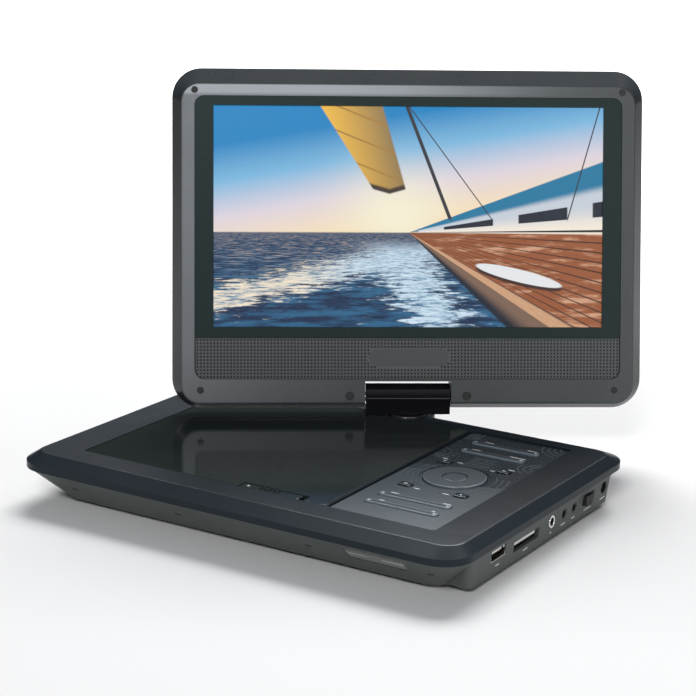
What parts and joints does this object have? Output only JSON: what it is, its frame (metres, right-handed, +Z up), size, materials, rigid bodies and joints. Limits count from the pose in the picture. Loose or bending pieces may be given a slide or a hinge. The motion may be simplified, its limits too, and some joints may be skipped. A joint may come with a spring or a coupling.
{
  "type": "portable disc player",
  "caption": "Portable disc player: a flat base with a disc drive, keys and side sockets, and a widescreen display on a hinge that swivels and tilts.",
  "frame": {"origin": "centre of the rectangle of the four rubber feet, on the surface that they stand on", "axes": "+Z up, -Y towards the user, +X towards the side with the sockets; the base is square to the axes and the screen is turned 35 degrees and leans back 12.6 degrees"},
  "size_m": [0.242, 0.2626, 0.1963],
  "materials": {
    "tray_plastic": "fine moulded texture",
    "deck_plastic": "satin moulded",
    "panel_plastic": "satin",
    "lid_plastic": "high gloss",
    "key_plastic": "satin",
    "bezel_plastic": "fine moulded texture",
    "back_plastic": "fine moulded texture",
    "screen_window": "gloss",
    "grille_plastic": "perforated",
    "badge": "gloss",
    "lcd": "picture on the display",
    "hinge_gloss": "piano gloss",
    "hinge_steel": "dark plated",
    "plated_steel": "nickel plated",
    "steel": "bright",
    "rubber": "matt",
    "plug_rubber": "matt",
    "board": "solder mask",
    "battery_wrap": "shrink wrap",
    "jack_plastic": "moulded",
    "smoked_window": "smoked",
    "light_pipe": "frosted",
    "hub_plastic": "moulded",
    "sled_plastic": "moulded",
    "lens": "coated",
    "speaker_black": "paper cone in a plastic box"
  },
  "bodies": {
    "base": {"base_bottom_cover": "tray_plastic", "base_top_cover": "deck_plastic", "disc_well": "deck_plastic", "control_panel": "panel_plastic", "lid_hinge_pins": "steel", "key_mat": "rubber", "key_board": "board", "main_board": "board", "usb_socket": "plated_steel", "card_socket": "plated_steel", "power_jack": "jack_plastic", "power_switch": "jack_plastic", "battery_pack": "battery_wrap", "indicator_window": "smoked_window", "light_pipes": "light_pipe", "rubber_feet": "rubber", "base_screws": "steel", "drive_chassis": "plated_steel", "drive_dampers": "rubber", "guide_rods": "steel", "spindle_motor": "plated_steel", "sled_motor": "plated_steel", "swivel_bushing": "plated_steel", "headphone_jack": "jack_plastic", "av_jacks": "jack_plastic"},
    "lid": {"disc_lid": "lid_plastic"},
    "release": {"open_button": "lid_plastic"},
    "hub": {"disc_hub": "hub_plastic", "hub_claws": "hub_plastic"},
    "sled": {"pickup_sled": "sled_plastic", "pickup_lens": "lens"},
    "screw": {"lead_screw": "steel"},
    "ring": {"nav_ring": "key_plastic"},
    "ok": {"ok_key": "key_plastic"},
    "bar_rear": {"key_bar_rear": "key_plastic"},
    "bar_upper": {"key_bar_upper": "key_plastic"},
    "bar_lower": {"key_bar_lower": "key_plastic"},
    "bar_front": {"key_bar_front": "key_plastic"},
    "menu": {"key_menu": "key_plastic"},
    "setup": {"key_setup": "key_plastic"},
    "mode": {"key_mode": "key_plastic"},
    "stop": {"key_stop": "key_plastic"},
    "power": {"power_slider": "jack_plastic"},
    "swivel": {"swivel_shaft": "hinge_steel", "swivel_nut": "steel", "hinge_bracket": "plated_steel", "hinge_cover_front": "hinge_gloss", "hinge_cover_rear": "hinge_gloss"},
    "screen": {"screen_bezel": "bezel_plastic", "screen_back_cover": "back_plastic", "screen_window": "screen_window", "speaker_grille": "grille_plastic", "badge_plate": "badge", "lcd_panel": "lcd", "lcd_board": "board", "speakers": "speaker_black", "corner_plugs": "plug_rubber", "hinge_plugs": "plug_rubber", "screen_screws": "steel", "tilt_brackets": "hinge_steel"}
  },
  "joints": [
    {"name": "screen_swivel", "type": "hinge", "parent": "base", "child": "swivel", "pos_m": [0, 0.0775, 0.0335], "axis": [0, 0, 1], "range_deg": [-125, 145]},
    {"name": "screen_tilt", "type": "hinge", "parent": "swivel", "child": "screen", "pos_m": [0, 0.0775, 0.0335], "axis": [0.8192, 0.5736, 0], "range_deg": [-77.4, 102.6]},
    {"name": "lid_opening", "type": "hinge", "parent": "base", "child": "lid", "pos_m": [-0.022, 0.066, 0.0202], "axis": [-1, 0, 0], "range_deg": [0, 2]},
    {"name": "open_slide", "type": "slide", "parent": "base", "child": "release", "axis": [1, 0, 0], "range_m": [0, 0.003], "stiffness_N_per_m": 200},
    {"name": "hub_spin", "type": "hinge", "parent": "base", "child": "hub", "pos_m": [-0.027, 0.0022, 0.012], "axis": [0, 0, 1], "continuous": true},
    {"name": "sled_travel", "type": "slide", "parent": "base", "child": "sled", "axis": [-1, 0, 0], "range_m": [0, 0.03]},
    {"name": "screw_turn", "type": "hinge", "parent": "base", "child": "screw", "pos_m": [-0.0545, -0.021, 0.0084], "axis": [1, 0, 0], "range_deg": [0, 3600]},
    {"name": "ring_press", "type": "slide", "parent": "base", "child": "ring", "axis": [0, 0, -1], "range_m": [0, 0.0007], "stiffness_N_per_m": 1500},
    {"name": "ok_press", "type": "slide", "parent": "base", "child": "ok", "axis": [0, 0, -1], "range_m": [0, 0.0007], "stiffness_N_per_m": 1200},
    {"name": "rear_bar_rock", "type": "hinge", "parent": "base", "child": "bar_rear", "pos_m": [0.0694, 0.0544, 0.022], "axis": [0, 1, 0], "range_deg": [-2, 2], "stiffness_Nm_per_rad": 0.3},
    {"name": "upper_bar_rock", "type": "hinge", "parent": "base", "child": "bar_upper", "pos_m": [0.0696, 0.041, 0.022], "axis": [0, 1, 0], "range_deg": [-2, 2], "stiffness_Nm_per_rad": 0.3},
    {"name": "lower_bar_rock", "type": "hinge", "parent": "base", "child": "bar_lower", "pos_m": [0.0706, -0.0352, 0.022], "axis": [0, 1, 0], "range_deg": [-2, 2], "stiffness_Nm_per_rad": 0.3},
    {"name": "front_bar_rock", "type": "hinge", "parent": "base", "child": "bar_front", "pos_m": [0.0705, -0.0469, 0.022], "axis": [0, 1, 0], "range_deg": [-2, 2], "stiffness_Nm_per_rad": 0.3},
    {"name": "menu_press", "type": "slide", "parent": "base", "child": "menu", "axis": [0, 0, -1], "range_m": [0, 0.0007], "stiffness_N_per_m": 1000},
    {"name": "setup_press", "type": "slide", "parent": "base", "child": "setup", "axis": [0, 0, -1], "range_m": [0, 0.0007], "stiffness_N_per_m": 1000},
    {"name": "mode_press", "type": "slide", "parent": "base", "child": "mode", "axis": [0, 0, -1], "range_m": [0, 0.0007], "stiffness_N_per_m": 1000},
    {"name": "stop_press", "type": "slide", "parent": "base", "child": "stop", "axis": [0, 0, -1], "range_m": [0, 0.0007], "stiffness_N_per_m": 1000},
    {"name": "power_slide", "type": "slide", "parent": "base", "child": "power", "axis": [0, 1, 0], "range_m": [0, 0.004]}
  ],
  "couplings": [
    {"joint": "lid_opening", "follows": "open_slide", "rad_per_m": 11.636},
    {"joint": "screw_turn", "follows": "sled_travel", "rad_per_m": 2094.4}
  ]
}
